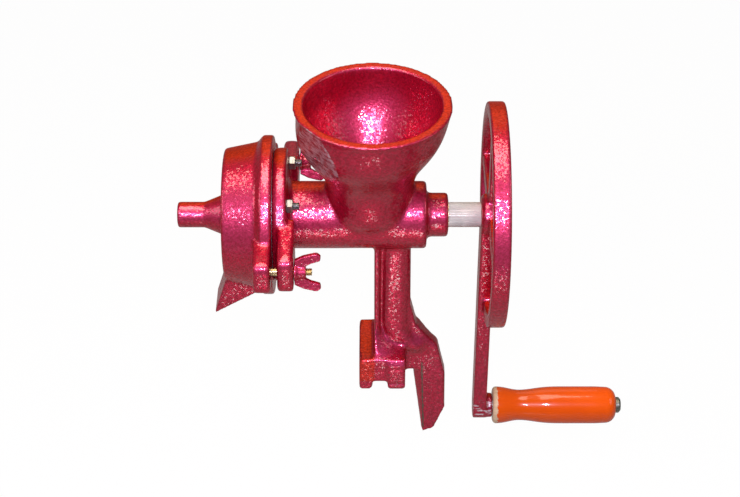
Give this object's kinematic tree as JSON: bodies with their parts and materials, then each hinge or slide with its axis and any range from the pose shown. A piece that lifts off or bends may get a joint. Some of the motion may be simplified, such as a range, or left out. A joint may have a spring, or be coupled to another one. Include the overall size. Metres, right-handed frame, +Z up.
{
  "type": "hand crank grinder",
  "caption": "Hand crank nut grinder with round hopper, grinding plates, wheel crank, wooden handle and bench claw, in metallic red-pink paint.",
  "frame": {"origin": "centre of the face of the right-hand foot rail, where it rests on the bench", "axes": "+X along the shaft towards the crank handle, +Z up through the hopper, -Y towards the side shown in the picture"},
  "size_m": [0.3702, 0.181, 0.3327],
  "materials": {
    "candy_paint": "gloss metallic",
    "handle_lacquer": "gloss",
    "bright_steel": "satin",
    "nut_steel": "satin",
    "yellow_zinc": "satin",
    "bronze": "satin",
    "plate_iron": "ground",
    "worm_iron": "satin"
  },
  "bodies": {
    "housing": {"grinder_body": "candy_paint", "rear_bush": "bronze", "front_cover": "candy_paint", "fixed_plate": "plate_iron", "plate_bolts": "bright_steel", "plate_nuts": "nut_steel", "cover_stud_front": "yellow_zinc", "cover_stud_rear": "yellow_zinc"},
    "thrust_ball": {"thrust_ball": "bright_steel"},
    "adjusting_screw": {"adjusting_screw": "yellow_zinc"},
    "rotor": {"drive_shaft": "bright_steel", "feed_worm": "worm_iron", "worm_pin": "bright_steel", "thrust_washer": "nut_steel", "rotating_plate": "plate_iron", "plate_drive_pin": "bright_steel", "crank_wheel": "candy_paint", "wheel_washer": "nut_steel", "wheel_nut": "nut_steel", "handle_spindle": "bright_steel", "handle_end_nut": "yellow_zinc"},
    "handle": {"wooden_handle": "handle_lacquer"},
    "wing_nut_front": {"wing_nut_front": "candy_paint"},
    "wing_nut_rear": {"wing_nut_rear": "candy_paint"}
  },
  "joints": [
    {"name": "plate_gap_slide", "type": "slide", "parent": "housing", "child": "thrust_ball", "axis": [1, 0, 0], "range_m": [-0.0015, 0]},
    {"name": "shaft_spin", "type": "hinge", "parent": "thrust_ball", "child": "rotor", "pos_m": [-0.02215, 0, 0.1605], "axis": [1, 0, 0], "continuous": true},
    {"name": "adjusting_screw_turn", "type": "hinge", "parent": "thrust_ball", "child": "adjusting_screw", "pos_m": [-0.16215, 0, 0.1605], "axis": [1, 0, 0], "range_deg": [-360, 0]},
    {"name": "handle_spin", "type": "hinge", "parent": "rotor", "child": "handle", "pos_m": [0.08365, 0, -0.043], "axis": [1, 0, 0], "continuous": true},
    {"name": "wing_nut_front_turn", "type": "hinge", "parent": "housing", "child": "wing_nut_front", "pos_m": [-0.08073, -0.075, 0.1605], "axis": [1, 0, 0], "range_deg": [0, 720]},
    {"name": "wing_nut_rear_turn", "type": "hinge", "parent": "housing", "child": "wing_nut_rear", "pos_m": [-0.08073, 0.075, 0.1605], "axis": [1, 0, 0], "range_deg": [0, 720]}
  ],
  "couplings": [
    {"joint": "adjusting_screw_turn", "follows": "plate_gap_slide", "rad_per_m": 4188.8}
  ]
}
